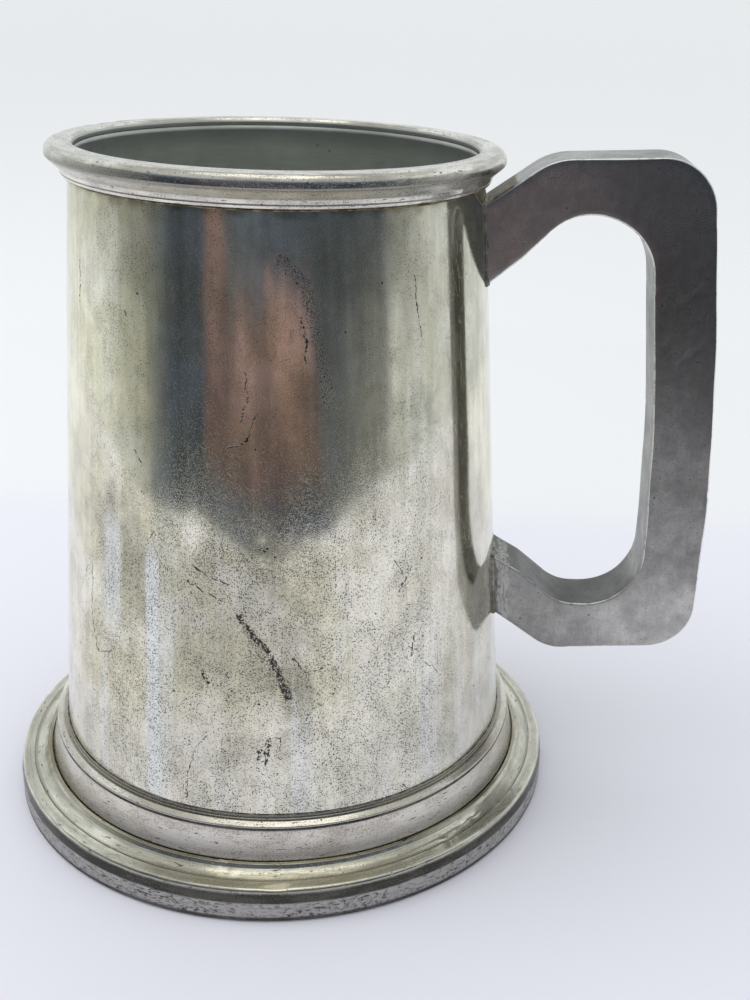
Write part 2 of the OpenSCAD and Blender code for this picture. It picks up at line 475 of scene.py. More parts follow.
# Marks on the photographed side of the drum: (arc, height) in mm, half width, strength
DRUM_MARKS = [
    ([(-3.8, 83), (-2.2, 83.3), (-0.7, 84.3), (0.3, 86.6), (1.1, 88.8)], 0.17, 1),
    ([(-0.5, 92), (-0.6, 95.4)], 0.16, 0.9),
    ([(-1.6, 87.2), (-1, 89.4), (-0.2, 91.2)], 0.22, 0.6),
    ([(3.3, 46), (4.4, 42.4), (5.7, 38.6)], 0.80, 1),
    ([(-2.3, 53.8), (0.4, 50), (2.6, 47.4)], 0.66, 0.85),
    ([(1.7, 26), (2.1, 27.8), (2.5, 30.4)], 0.60, 1),
    ([(0.7, 26.3), (1.2, 28.6)], 0.40, 0.8),
    ([(2.4, 30.8), (4.4, 30.9), (4.1, 27)], 0.14, 0.9),
    ([(28, 46.4), (27.6, 42.8)], 0.30, 0.9),
    ([(27, 44.6), (28.8, 43.2)], 0.16, 0.7),
    ([(25.2, 17), (25.7, 16.2)], 0.40, 0.95),
    ([(-17.9, 65.4), (-17.2, 66.6), (-17.6, 67), (-17.3, 64.7)], 0.14, 0.9),
    ([(-21.5, 80), (-19.6, 78.3)], 0.14, 0.8),
    ([(-23.6, 102.6), (-22.9, 102.1)], 0.24, 0.9),
    ([(-33.2, 56), (-33.4, 46), (-31.6, 39.6), (-28.6, 40.2), (-26.4, 42)], 0.20, 0.6),
    ([(-7.7, 30.4), (-9.8, 27.8), (-11, 22), (-11.4, 17.5)], 0.14, 0.75),
    ([(-9.6, 61.9), (-6.6, 60.2), (-3.8, 59.4)], 0.20, 0.7),
    ([(30.2, 40.6), (33.5, 37.2)], 0.14, 0.6),
    ([(1.6, 66), (2.3, 65.6), (2.8, 66.3)], 0.26, 0.9),
    ([(-27, 34.6), (-25.2, 33.4), (-24.6, 31.8)], 0.16, 0.7),
    ([(8.6, 104), (9.4, 100.4), (9.2, 97)], 0.30, 0.6),
    ([(-37.8, 108.5), (-37.5, 105.5), (-37.9, 101.5)], 0.35, 0.75),
    ([(29.6, 109.5), (29.8, 105), (31, 99.2)], 0.15, 0.9),
    ([(-8.4, 42.6), (-7.6, 40.8)], 0.45, 0.9),
    ([(-4.2, 43), (-3.9, 41.8)], 0.25, 0.8),
    ([(-10.6, 59), (-5, 56.2)], 0.16, 0.85),
    ([(6.6, 46.2), (8.4, 43.4), (11.4, 43.8)], 0.18, 0.75),
    ([(24, 62), (26.5, 58), (25, 55.5), (28, 60)], 0.15, 0.6),
]

# Rows of pits that curve down the front, as above
PIT_ROWS = [
    ([(5.5, 113), (9.4, 109), (11.6, 98.6), (12.9, 90.8)], 1.5, 1),
    ([(-1, 51.6), (5.6, 40)], 1.5, 0.65),
]

# Fine scratches: direction in degrees, length and spacing in mm, share of the drum that has them
DRUM_SCRATCHES = [(80, 9, 1.1, 0.50), (35, 6, 1.4, 0.36), (-52, 7, 1.3, 0.36)]

# Broad darker stains on the front: middle (arc, height), half widths, share of the brightness left
STAINS = [
    ((-6, 51), (19, 18), 0.72),
    ((6.5, 40), (3.6, 15), 0.74),
    ((-24, 61), (9, 14), 0.70),
    ((3, 59), (7, 6), 0.84),
    ((-10, 29), (12, 9), 0.84),
    ((30.5, 87), (4, 5), 0.78),
    ((-33.5, 66.5), (3, 7), 0.84),
]


def stained_share(f, v):
    """What the stains leave of the brightness."""
    out = 1
    ragged = f.moved(v, f.scaled(wobble(f, f.scaled(v, 0.25), 1), 7))
    for middle, half, left in STAINS:
        off = f.vector("DIVIDE", f.vector("SUBTRACT", ragged, (*middle, 0)), (*half, 1))
        out = f.product(out, f.ramp(f.vector("LENGTH", off), 0.35, 1.15, left, 1))
    return out


def wobble(f, v, amount):
    """A small random shift in the plane, so that marks aren't ruled lines."""
    sources = (v, f.moved(v, (57, 11, 0)))
    return f.join(*[f.product(f.minus(f.noise(w, 1.3, 2), 0.5), 2 * amount) for w in sources])


def drum_finish():
    """Worn bright pewter: dense fine dark pits, cloudy patina, vertical streaks, scratches and stains."""
    f = Finish("worn_drum_pewter")
    p = f.around()
    flat = f.unrolled()
    arc, _, _ = f.split(flat)
    streak = f.noise(f.around(0.05), 1.3, 3, 0.6)
    band = f.noise(f.around(0.035), 4.5, 2, 0.55)
    patch = f.noise(f.around(0.8), 10, 3, 0.6)
    cloud = f.noise(f.moved(f.around(0.7), (9, 5, 2)), 4.5, 4, 0.65)
    grain = f.noise(f.around(0.9), 0.22, 3, 0.85)
    fine = f.noise(p, 0.16, 1, 0.5)
    # Hands have rubbed the sides smoother than the front, and the upper half smoother than the lower
    rubbed = f.ramp(f.size(arc), 26, 42)
    lower = f.ramp(f.total(f.z, f.product(patch, 40)), 104, 70)
    worn = f.product(f.minus(1, f.product(rubbed, 0.45)), f.total(0.62, f.product(lower, 0.38)))
    above_base = f.ramp(f.total(f.z, f.product(cloud, 14)), 30, 44, 0.35, 1)
    yellow = f.product(f.ramp(patch, 0.36, 0.60, 0.35, 1), f.ramp(arc, 10, 24, 1, 0.45), above_base)
    colour = f.blend(yellow, BRIGHT, WARM)
    # A pale bluish run down the left of the front, a paler patch beside it, and fainter runs elsewhere
    run_edge = f.total(arc, f.product(f.noise(f.around(0.2), 2), 0.9))
    run = f.product(f.ramp(run_edge, -18.9, -18.3), f.ramp(run_edge, -15.6, -16.2),
                    f.ramp(f.z, 67, 60), 0.7)
    pale = f.product(f.ramp(run_edge, -30, -28), f.ramp(run_edge, -23.6, -25),
                     f.ramp(f.z, 70, 64), f.ramp(f.z, 40, 52), 0.6)
    faint = f.product(f.ramp(band, 0.56, 0.62), f.ramp(f.z, 60, 40, 0.15, 0.4))
    runs = f.most(run, pale, faint)
    colour = f.shade(colour, stained_share(f, flat))
    colour = f.shade(colour, f.ramp(streak, 0.3, 0.7, 0.88, 1.04, False))
    colour = f.shade(colour, f.ramp(patch, 0.36, 0.62, 1.02, 0.90))
    colour = f.shade(colour, f.ramp(cloud, 0.36, 0.66, 1.03, 0.86))
    colour = f.blend(f.product(runs, f.ramp(grain, 0.62, 0.5)), colour, COOL)
    colour = f.shade(colour, f.ramp(fine, 0.25, 0.75, 0.84, 1.10, False))
    # Pits of several sizes, crowded together in places
    crowd = f.product(f.ramp(cloud, 0.34, 0.62, 0.60, 1.15), worn)
    grit = f.specks(f.moved(p, (0.9, 3.3, 1.1)), 0.25, 0.48, 0.50)
    tiny = f.specks(p, 0.36, 0.38, 0.46)
    small = f.specks(f.moved(p, (1.7, 0.4, 2.2)), 0.60, 0.27, 0.25)
    mid = f.specks(f.moved(p, (4.1, 6.6, 3)), 1.25, 0.15, 0.11)
    large = f.specks(f.moved(p, (5, 3, 1)), 2.9, 0.09, 0.16)
    mottle = f.product(f.ramp(grain, 0.50, 0.64), f.ramp(patch, 0.34, 0.60, 0.35, 1), worn)
    drawn = f.moved(flat, wobble(f, flat, 0.7))
    broken = f.ramp(f.noise(p, 0.45, 2, 0.7), 0.42, 0.54, 0.10, 1)
    marks = f.product(f.strokes(drawn, DRUM_MARKS), broken)
    rows = f.product(f.strokes(drawn, PIT_ROWS), f.ramp(grain, 0.50, 0.58), 0.85)
    lines = f.most(*[f.scratches(flat, turn, length, spacing, 0.012, share)
                     for turn, length, spacing, share in DRUM_SCRATCHES])
    dark = f.most(f.product(grit, crowd, 0.60), f.product(tiny, crowd, 0.62), f.product(small, crowd, 0.70),
                  f.product(mottle, 0.46), f.product(mid, worn, 0.75), f.product(large, 0.85), rows, marks,
                  f.product(lines, 0.28))
    deep = f.ramp(dark, 0.10, 0.64)
    colour = f.blend(deep, colour, GRIME_AND_SHADE)
    # Brown stain creeping out from under the rim
    under_rim = f.total(f.z, f.product(f.noise(p, 3), -4))
    colour = f.blend(f.ramp(under_rim, 116.6, 118.8, 0, 0.65), colour, OLIVE)
    rough = f.total(0.050, f.product(f.ramp(patch, 0.35, 0.7), 0.03), f.ramp(dark, 0.10, 0.34, 0, 0.25),
                    f.product(deep, 0.10))
    normal = f.bump(f.product(dark, -0.005), f.product(fine, 0.0010), f.product(lines, -0.0012),
                    f.product(marks, -0.010), f.product(cloud, 0.006))
    return f.metal(colour, rough, normal)


def turned_finish(name, bright, dull, low_rough, wear, grime_and_shade, scuffed=None, stained=None):
    """Lathe-turned pewter: fine rings, pits, nicks and rubbed patches. wear is how pitted it is.
    tarnish, scuffed and stained give a share of grime with painted shade and painted dark reflection,
    scuffing and olive stain from the finish."""
    f = Finish(name)
    s = f.along()
    x, y, _ = f.split(f.scaled(f.outward, 40))

    def along_ring(stretch, rise=s):
        return f.join(f.product(x, stretch), f.product(y, stretch), rise)

    rings = f.noise(along_ring(0.05), 0.20, 2, 0.7)
    patch = f.noise(along_ring(0.35), 2.4, 3, 0.6)
    grain = f.noise(f.mm, 0.24, 3, 0.8)
    colour = f.blend(f.ramp(patch, 0.38, 0.66), bright, dull)
    colour = f.shade(colour, f.ramp(rings, 0.3, 0.7, 0.84, 1.05, False))
    nicks = f.ramp(f.noise(along_ring(0.55, f.product(s, 2.2)), 0.9, 3, 0.7), 0.63, 0.68)
    pits = f.specks(f.mm, 0.7, 0.28, 0.20 + 0.3 * wear)
    crowd = f.product(f.ramp(grain, 0.52, 0.64), f.ramp(patch, 0.35, 0.6, 0.35, 1), wear)
    large = f.specks(f.moved(f.mm, (3, 9, 4)), 2.4, 0.12, 0.26)
    dark = f.most(f.product(pits, 0.35 * wear + 0.1), f.product(crowd, 0.6), f.product(large, 0.8),
                  f.product(nicks, 0.8))
    rough = f.total(low_rough, f.product(f.ramp(patch, 0.35, 0.7), 0.08), f.product(dark, 0.22))
    if scuffed is not None:
        scuff = scuffed(f)
        rub = f.noise(along_ring(0.7, f.product(s, 1.3)), 0.55, 5, 0.85)
        colour = f.blend(f.product(scuff, 0.85), colour, SCUFFED)
        blotch = f.product(f.ramp(rub, 0.49, 0.43), f.ramp(patch, 0.3, 0.55, 0.35, 0.95))
        dark = f.most(dark, f.product(scuff, blotch))
        rough = f.total(rough, f.product(scuff, 0.22))
    uneven = f.ramp(f.total(patch, grain), 0.8, 1.15, 1.15, 0.8)
    # The table's share is grime together with painted shade and painted dark reflection
    dirt_and_shade = f.least(f.product(grime_and_shade(f), uneven), 1)
    colour = f.blend(f.most(dark, dirt_and_shade), colour, GRIME_AND_SHADE)
    rough = f.total(rough, f.product(dirt_and_shade, 0.12))
    if stained is not None:
        colour = f.blend(stained(f), colour, OLIVE)
    normal = f.bump(f.product(dark, -0.02), f.product(rings, 0.005), f.product(grain, 0.002))
    return f.metal(colour, rough, normal)


def rim_grime_and_shade(f):
    """Grime with painted shade and painted dark reflection under the lip, on the neck and in the thin
    groove of the bead.
    """
    return f.table(f.z, 119.5, 127, [
        (120.15, 0.92), (120.40, 0.75), (120.60, 0.10), (120.95, 0.08), (121.05, 0.62), (121.22, 0.10),
        (121.70, 0.12), (122.10, 0.42), (123.10, 0.36), (123.60, 0.70), (124.30, 0.58), (124.80, 0.20),
        (125.20, 0.04)])


def band_grime_and_shade(f):
    """Grime with painted shade in the cove against the drum and in the groove below the bead, and a painted
    dark reflection low on the fascia.
    """
    cove = f.product(f.ramp(f.radius, 45.35, 44.70), f.ramp(f.z, 14.3, 14.6), 0.45)
    # Painted dark reflection low on the fascia, and grime with painted shade in the groove below the bead
    fascia = f.table(f.z, 7.5, 15, [
        (8, 0.80), (8.5, 0.50), (9.2, 0.58), (10.3, 0.40), (11.6, 0.18), (12.6, 0.08), (13.6, 0.15),
        (13.8, 0.90), (14.22, 0.88), (14.42, 0.15), (14.5, 0)])
    return f.most(cove, fascia)


def foot_grime_and_shade(f):
    """Grime with painted shade in the hollow and along the step. Round the lower edge: a painted dark
    reflection band high on the edge, a painted contact shadow along the bottom, and light grime between.
    """
    hollow = f.table(f.radius, 47, 54.5, [
        (47.75, 0.55), (47.9, 0), (48.55, 0), (48.75, 0.15), (49.05, 0.30), (49.5, 0.05), (50.5, 0.02),
        (50.95, 0.45), (51.2, 0.45), (51.4, 0), (52.3, 0.25), (53, 0.15), (53.2, 0), (54, 0)])
    top = f.product(hollow, f.ramp(f.z, 5.5, 6.2))
    # Round the lower edge: a painted contact shadow along the bottom, light grime on the worn face, and a
    # painted dark reflection band above it
    edge = f.table(f.z, -0.5, 7, [
        (0.15, 0.97), (1, 0.95), (1.3, 0.22), (3.9, 0.20), (4.3, 1.12), (5.7, 1.15), (6.15, 0.6),
        (6.45, 0)])
    return f.most(top, f.product(edge, f.ramp(f.radius, 53.2, 53.5)))


def rubbed_edge(f):
    """The foot's upright lower face, scuffed by tables."""
    return f.ramp(f.total(f.z, f.product(f.noise(f.mm, 2.5, 2), 1.2)), 5, 4.4)


def crack_stain(f):
    """Olive residue along the crack between band and foot, mostly on the left."""
    arc, _, _ = f.split(f.unrolled(1))
    left = f.product(f.ramp(arc, -1.55, -1.35), f.ramp(arc, -0.85, -1.15))
    spread = f.total(f.radius, f.product(f.noise(f.mm, 3, 3), -2.6))
    wide = f.product(left, f.ramp(spread, 48.6, 47), f.ramp(f.z, 9.2, 8.4), 0.75)
    crack = f.size(f.minus(f.z, 8))
    near = f.product(f.ramp(crack, 0.55, 0.2), f.ramp(f.radius, 48.7, 48.2), 0.55)
    return f.most(wide, near)


def inside_finish():
    """The dull greenish grey inside of the drum and its floor."""
    f = Finish("dull_inside_pewter")
    p = f.around()
    cloud = f.noise(p, 9, 3, 0.55)
    brushed = f.noise(f.join(f.product(f.x, 0.08), f.product(f.y, 0.08), f.total(f.z, f.radius)), 0.5, 2)
    colour = f.blend(f.ramp(cloud, 0.35, 0.65), INSIDE, INSIDE_DARK)
    colour = f.shade(colour, f.ramp(brushed, 0.3, 0.7, 0.95, 1.03, False))
    colour = f.shade(colour, f.ramp(f.z, 119.5, 124, 1.04, 0.60))
    spots = f.specks(f.mm, 2.6, 0.14, 0.3)
    colour = f.blend(f.product(spots, 0.4), colour, GRIME_AND_SHADE)
    rough = f.total(0.36, f.product(cloud, 0.1))
    normal = f.bump(f.product(brushed, 0.006), f.product(spots, -0.02))
    return f.metal(colour, rough, normal)


def handle_finish():
    """Smooth cast pewter with a brownish grey patina, worn bright edges with a painted highlight, painted
    shade by height and on the inward faces, and dull solder smears.
    """
    f = Finish("cast_handle_pewter")
    cloud = f.noise(f.mm, 7, 4, 0.6)
    small = f.noise(f.mm, 1.6, 4, 0.65)
    grain = f.noise(f.mm, 0.35, 3, 0.75)
    drag = f.noise(f.vector("MULTIPLY", f.mm, (1, 1, 0.12)), 0.7, 2, 0.6)
    colour = f.blend(f.ramp(cloud, 0.36, 0.64), CAST, CAST_DARK)
    colour = f.shade(colour, f.ramp(small, 0.3, 0.7, 0.84, 1.08, False))
    colour = f.shade(colour, f.ramp(drag, 0.3, 0.7, 0.95, 1.03, False))
    pits = f.specks(f.mm, 0.8, 0.26, 0.34)
    large = f.specks(f.moved(f.mm, (2, 7, 5)), 2.6, 0.11, 0.34)
    dark = f.most(f.product(pits, f.ramp(small, 0.4, 0.6), 0.5), f.product(large, 0.7),
                  f.product(f.ramp(grain, 0.55, 0.66), 0.3))
    colour = f.blend(dark, colour, GRIME_AND_SHADE)
    # Painted reflected shade and light by height: the grip is darkest in its upper half, and the lower arm
    # is brightest at its outer end
    grip = f.table(f.z, 25, 130, [
        (32, 1.25), (42, 1.20), (51, 0.84), (63, 0.64), (75, 0.62), (87, 0.50), (99, 0.48),
        (107, 0.52), (114, 0.66), (122, 0.78)])
    level = f.blend(f.ramp(f.x, 50, 68), f.ramp(f.z, 60, 90, 0.80, 1.02), grip)
    colour = f.blend(1, colour, level, "MULTIPLY")
    # Painted shade on the faces that look up from the lower arm and in towards the drum, most on the lower
    # arm
    face = f.split(f.node("NewGeometry").outputs["Normal"])
    inward_shade = f.most(f.product(f.ramp(face[2], 0.1, 0.6), f.ramp(f.z, 75, 60)),
                    f.product(f.ramp(face[0], -0.5, -0.9), 0.62))
    colour = f.shade(colour, f.ramp(inward_shade, 0, 1, 1, 0.36, False))
    # Worn bright edges with a painted highlight, where the surface turns between the flat sides and the
    # edges
    sideways = f.size(face[1])
    edge = f.product(f.ramp(sideways, 0.12, 0.35), f.ramp(sideways, 0.985, 0.93),
                     f.ramp(small, 0.35, 0.5, 0.55, 1))
    colour = f.blend(edge, colour, WORN_EDGE_AND_HIGHLIGHT)
    # How far the point stands off the drum, in mm
    wall_r = f.math("MULTIPLY_ADD", f.z, -TAPER, DRUM_TOP_R + TAPER * RIM_Z)
    off = f.minus(f.radius, wall_r)
    low_end = f.ramp(f.z, 75, 65)
    ragged = f.total(off, f.product(f.noise(f.mm, 2.2, 3, 0.6), -3.4))
    scraped = f.product(f.ramp(ragged, 1.4, 0.7), low_end)
    scrape = f.noise(f.vector("MULTIPLY", f.mm, (1, 1, 0.25)), 0.4, 3, 0.7)
    colour = f.blend(f.product(scraped, f.ramp(scrape, 0.38, 0.55), 0.8), colour, SCRAPED)
    reach = f.ramp(f.z, 88, 104, -0.9, -1.6)
    smear = f.ramp(f.minus(ragged, reach), 0.1, -0.1, 0, f.ramp(f.z, 65, 75, 0.6, 1))
    colour = f.blend(f.product(smear, 0.85), colour, SMEARED)
    residue = f.product(f.ramp(f.total(off, f.product(small, 2)), 6.6, 6), f.ramp(face[2], 0.35, 0.6),
                        f.ramp(f.z, 90, 100), 0.85)
    residue = f.product(residue, f.ramp(f.noise(f.mm, 1.1, 3, 0.65), 0.36, 0.5, 0.6, 1))
    colour = f.blend(residue, colour, RESIDUE)
    rough = f.total(0.26, f.product(f.ramp(cloud, 0.35, 0.7), 0.08), f.product(dark, 0.2),
                    f.product(smear, 0.15), f.product(residue, 0.2), f.product(scraped, 0.2))
    normal = f.bump(f.product(dark, -0.012), f.product(small, 0.008), f.product(smear, 0.05),
                    f.product(scraped, scrape, 0.03), f.product(residue, f.noise(f.mm, 0.5, 2), 0.08))
    return f.metal(colour, rough, normal)


def solder_finish(name, light, dark_colour):
    """Dull tarnished solder."""
    f = Finish(name)
    cloud = f.noise(f.mm, 1.8, 3, 0.6)
    grain = f.noise(f.mm, 0.35, 2, 0.6)
    colour = f.blend(f.ramp(cloud, 0.38, 0.62), light, dark_colour)
    rough = f.total(0.34, f.product(grain, 0.3))
    normal = f.bump(f.product(grain, 0.04), f.product(cloud, 0.06))
    return f.metal(colour, rough, normal)


# ---------------- the turned pieces

# Dents in the drum's wall: angle from -Y in degrees, height, radius and depth in mm
DENTS = [(2.6, 66.6, 1.1, 0.035), (-24, 58, 5, 0.06), (38, 84, 6, 0.07), (-48, 92, 5, 0.05),
         (14, 40, 3, 0.03), (120, 60, 6, 0.08), (-130, 45, 7, 0.08), (170, 95, 5, 0.06)]


def dent_places():
    out = []
    for turn, z, radius, depth in DENTS:
        a = math.radians(turn)
        out.append((drum_r(z) * math.sin(a), -drum_r(z) * math.cos(a), z, radius, depth))
    return out


def drum_relief(points):
    """Slow waves and a few dents in the drum's wall; its ends stay true."""
    waves = 0.055 * wander(points, 21, SEED) + 0.018 * wander(points, 7.5, SEED + 1)
    ripple = 0.005 * wander(points * np.array((1, 1, 0.35)), 2.4, SEED + 2)
    ends = np.clip((DRUM_TOP_Z - points[:, 2]) / 4, 0, 1)
    return (waves + ripple + dents(points, dent_places())) * ends


def make_drum(material, lining):
    foot_r, top_r, skin = drum_r(RECESS_Z), drum_r(DRUM_TOP_Z), 0.1
    corners = [
        (foot_r - WALL, RECESS_Z, 0),
        (foot_r - skin, RECESS_Z, 0),
        (top_r - skin, DRUM_TOP_Z, 0),
        (top_r - WALL, DRUM_TOP_Z, 0),
    ]
    piece = turned("drum", corners, 0.9, RING_SIDES, material, drum_relief)
    line_with(piece, lining, lambda c: math.hypot(c.x, c.y) < drum_r(c.z) - WALL * 0.7)
    return piece


def make_rim(material, lining):
    bore_r = drum_r(DRUM_TOP_Z) - WALL
    bead_r = LIP_R - LIP_IN
    corners = [
        (drum_r(RIM_Z), RIM_Z, 0),
        (drum_r(DRUM_TOP_Z), DRUM_TOP_Z, 0),
        (bore_r, DRUM_TOP_Z, 0),
        (bore_r, LIP_Z - 0.7, 0.4),
        (bore_r + LIP_FLARE, LIP_Z, 0.3),
        (LIP_R - CLEAR, LIP_Z, LIP_ROUND),
        (LIP_R - CLEAR, LIP_Z - LIP_FACE_H, 0.6),
        (bead_r + 0.25, LIP_Z - 4.05, 0.5),
        (bead_r - 0.05, LIP_Z - 4.78, 0.1),
        (bead_r - 0.22, LIP_Z - 4.86, 0.05),
        (bead_r - 0.05, LIP_Z - 4.96, 0.08),
        (bead_r - 0.28, RIM_Z + 0.22, 0.2),
    ]
    piece = turned("rim", corners, FINE, RING_SIDES, material, rim_relief)
    line_with(piece, lining, lambda c: math.hypot(c.x, c.y) < bore_r + 0.5 * LIP_FLARE)
    return piece


def knocks(points, size, rare, depth, seed):
    """Small knocks that move points in: the rarer, the higher rare is."""
    return np.clip(wander(points, size, seed) - rare, 0, 1) * depth


def rim_relief(points):
    """Slight unevenness of the moulding, with small knocks on the lip; the bore stays true."""
    soft = 0.03 + 0.03 * wander(points, 9, SEED + 11) + 0.010 * wander(points, 2, SEED + 12)
    bore = np.hypot(points[:, 0], points[:, 1]) < LIP_R - 3.9
    return np.where(bore, 0, -(soft + knocks(points, 2.6, 0.52, 0.30, SEED + 13)))


def make_band(material):
    bead_z = BAND_TOP - COVE_H
    bead_r = BAND_R - FASCIA_SPREAD
    corners = [
        (drum_r(SEAT_Z), SEAT_Z, 0),
        (BAND_R, SEAT_Z, 0.2),
        (bead_r - 0.02, bead_z - 0.94, 0.1),
        (bead_r - 0.22, bead_z - 0.76, 0.07),
        (bead_r, bead_z - 0.58, 0.1),
        (bead_r, bead_z - 0.25, 0.25),
        (bead_r - 1, bead_z + 0.3, 0.3),
        (drum_r(BAND_TOP) + 0.2, bead_z + 0.15, 0.2),
        (drum_r(BAND_TOP) + 0.12, BAND_TOP, 0),
        (drum_r(BAND_TOP), BAND_TOP, 0),
    ]
    return turned("band", corners, FINE, RING_SIDES, material, band_relief)


def band_relief(points):
    """Slight unevenness of the band."""
    return 0.02 * wander(points, 8, SEED + 21) + 0.008 * wander(points, 2, SEED + 22)


def make_foot(material):
    step_r = FOOT_R - STEP_IN
    inner_r = drum_r(RECESS_Z) - SPIGOT_W
    hollow_z = SEAT_Z - HOLLOW_DROP
    corners = [
        (drum_r(SEAT_Z), SEAT_Z, 0),
        (BAND_R + 0.15, SEAT_Z, 0),
        (BAND_R + 0.15, SEAT_Z + 0.3, 0.06),
        (BAND_R + 0.75, SEAT_Z + 0.16, 0.22),
        (BAND_R + 1.2, SEAT_Z - 0.4, 0.3),
        (step_r - 1.2, SEAT_Z - 1.05, 4),
        (step_r, hollow_z, 0),
        (step_r + 0.25, hollow_z + 0.3, 0.2),
        (FOOT_R - 0.45, hollow_z, 0.75),
        (FOOT_R - CLEAR, SEAT_Z - EDGE_DROP, 0.35),
        (FOOT_R - CLEAR, 0, 0.8),
        (FOOT_R - STAND_W, 0, 0.5),
        (FOOT_R - STAND_W, RECESS_Z - 2.2, 1.4),
        (inner_r, RECESS_Z - 0.8, 0),
        (inner_r, RECESS_Z, 0),
        (drum_r(RECESS_Z), RECESS_Z, 0),
    ]
    return turned("foot", corners, 0.28, RING_SIDES, material, foot_relief)


def foot_relief(points):
    """Unevenness and knocks on the foot's edge; its contact face stays flat."""
    soft = 0.035 + 0.035 * wander(points, 10, SEED + 31) + 0.012 * wander(points, 2, SEED + 32)
    edge = np.clip(points[:, 2] - 0.3, 0, 1)
    return -(soft + knocks(points, 2.2, 0.5, 0.35, SEED + 33)) * edge


def make_floor_plate(material):
    """The drum's floor: a disc with a shallow turned ring."""
    edge_r = drum_r(RECESS_Z) - WALL - CLEAR
    corners = [
        (0, RECESS_Z, 0),
        (edge_r, RECESS_Z, 0),
        (edge_r, FLOOR_TOP, 0),
        (0.30 * edge_r, FLOOR_TOP, 0.4),
        (0.29 * edge_r, FLOOR_TOP - 0.12, 0.3),
        (0, FLOOR_TOP - 0.12, 0),
    ]
    return turned("floor", corners, 1, PLATE_SIDES, material)


# ---------------- the handle


def corner_marks(corners):
    """The rounded open path through corners, and how far along it the middle of each corner is."""
    n = len(corners)
    path, marks, travelled = [], [], 0
    for i, (x, y, radius) in enumerate(corners):
        p = np.array((x, y))
        arc = [p]
        if 0 < i < n - 1 and radius > 0:
            arc = corner_arc(corners[i - 1], corners[i], corners[i + 1], 4)
        if path:
            travelled += np.linalg.norm(arc[0] - path[-1])
        lengths = [np.linalg.norm(b - a) for a, b in zip(arc, arc[1:])]
        marks.append(travelled + sum(lengths) / 2)
        travelled += sum(lengths)
        path += arc
    return np.array(path), marks


def walk(path, distances):
    """The points at these distances along a path."""
    steps = np.linalg.norm(np.diff(path, axis=0), axis=1)
    reached = np.concatenate(([0], np.cumsum(steps)))
    return np.stack([np.interp(distances, reached, path[:, k]) for k in (0, 1)], 1)


def to_drum(a, b, sunk, y=0):
    """Where the line from a to b, at this y, crosses the drum's cone, sunk below its surface."""
    low, high = 0, 1
    for _ in range(40):
        mid = (low + high) / 2
        x, z = np.array(a) + (np.array(b) - np.array(a)) * mid
        if math.hypot(x, y) < drum_r(z) - sunk:
            low = mid
        else:
            high = mid
    return tuple(np.array(a) + (np.array(b) - np.array(a)) * high)


# How far the handle's ends are sunk in the drum's wall, and the rounding along its edges
SUNK = 0.75
EDGE = 0.38
# Where the handle's outline starts, inside the drum
ROOT_X = 33
# How far the corners of its outline lie beyond the box of the rounded handle
OVER_TOP, UNDER_LOW, PAST_REACH = 0.50, 0.20, 0.45
GRIP_T, UPPER_ARM_T, LOWER_ARM_T = 11.8, 10.8, 10.3


def handle_corners():
    """The outer and inner edges of the handle's side, from the upper end round to the lower, as
    corners (x, z, radius)."""
    top, low, reach = HANDLE_TOP + OVER_TOP, HANDLE_LOW - UNDER_LOW, REACH + PAST_REACH
    grip, upper, lower = GRIP_T, UPPER_ARM_T, LOWER_ARM_T
    outer = [
        (ROOT_X, top - 12, 0),
        (reach - 34.6, top - 1.6, 12),
        (reach - 6.8, top, 9.5),
        (reach - 2.7, low + 63.4, 120),
        (reach - 0.4, low + 31.4, 120),
        (reach - 0.7, low + 1.9, 9),
        (reach - 28.9, low, 9),
        (ROOT_X, low + 14, 0),
    ]
    inner = [
        (ROOT_X, top - 27.4, 0),
        (reach - 38.8, top - 18.7, 15),
        (reach - 31.3, top - upper, 10),
        (reach - grip - 4.6, top - upper, 11.5),
        (reach - grip - 0.7, low + 47.4, 150),
        (reach - grip, low + 25.4, 100),
        (reach - grip - 0.2, low + lower, 11),
        (reach - 27.6, low + lower - 0.1, 9),
        (reach - 35.5, low + 16.7, 6),
        (ROOT_X, low + 24.6, 0),
    ]
    return outer, inner


def handle_lines():
    """The same edges with their ends sunk a little into the drum."""
    outer, inner = handle_corners()
    for line in (outer, inner):
        line[0] = (*to_drum(line[0][:2], line[1][:2], SUNK), 0)
        line[-1] = (*to_drum(line[-1][:2], line[-2][:2], SUNK), 0)
    return outer, inner


def section(depth, width, edge, across=12, arc=5):
    """A rounded rectangle as points (place through the depth, y), once round."""
    y = width / 2
    corners = [(0, -y, edge), (depth, -y, edge), (depth, y, edge), (0, y, edge)]
    out = []
    for i in range(4):
        out += corner_arc(corners[i - 1], corners[i], corners[(i + 1) % 4], 90 / arc)
    ends = []
    for i in range(4):
        group = out[i * (arc + 1):(i + 1) * (arc + 1)]
        following = out[((i + 1) % 4) * (arc + 1)]
        ends += group
        ends += [group[-1] + (following - group[-1]) * k / across for k in range(1, across)]
    return np.array(ends)


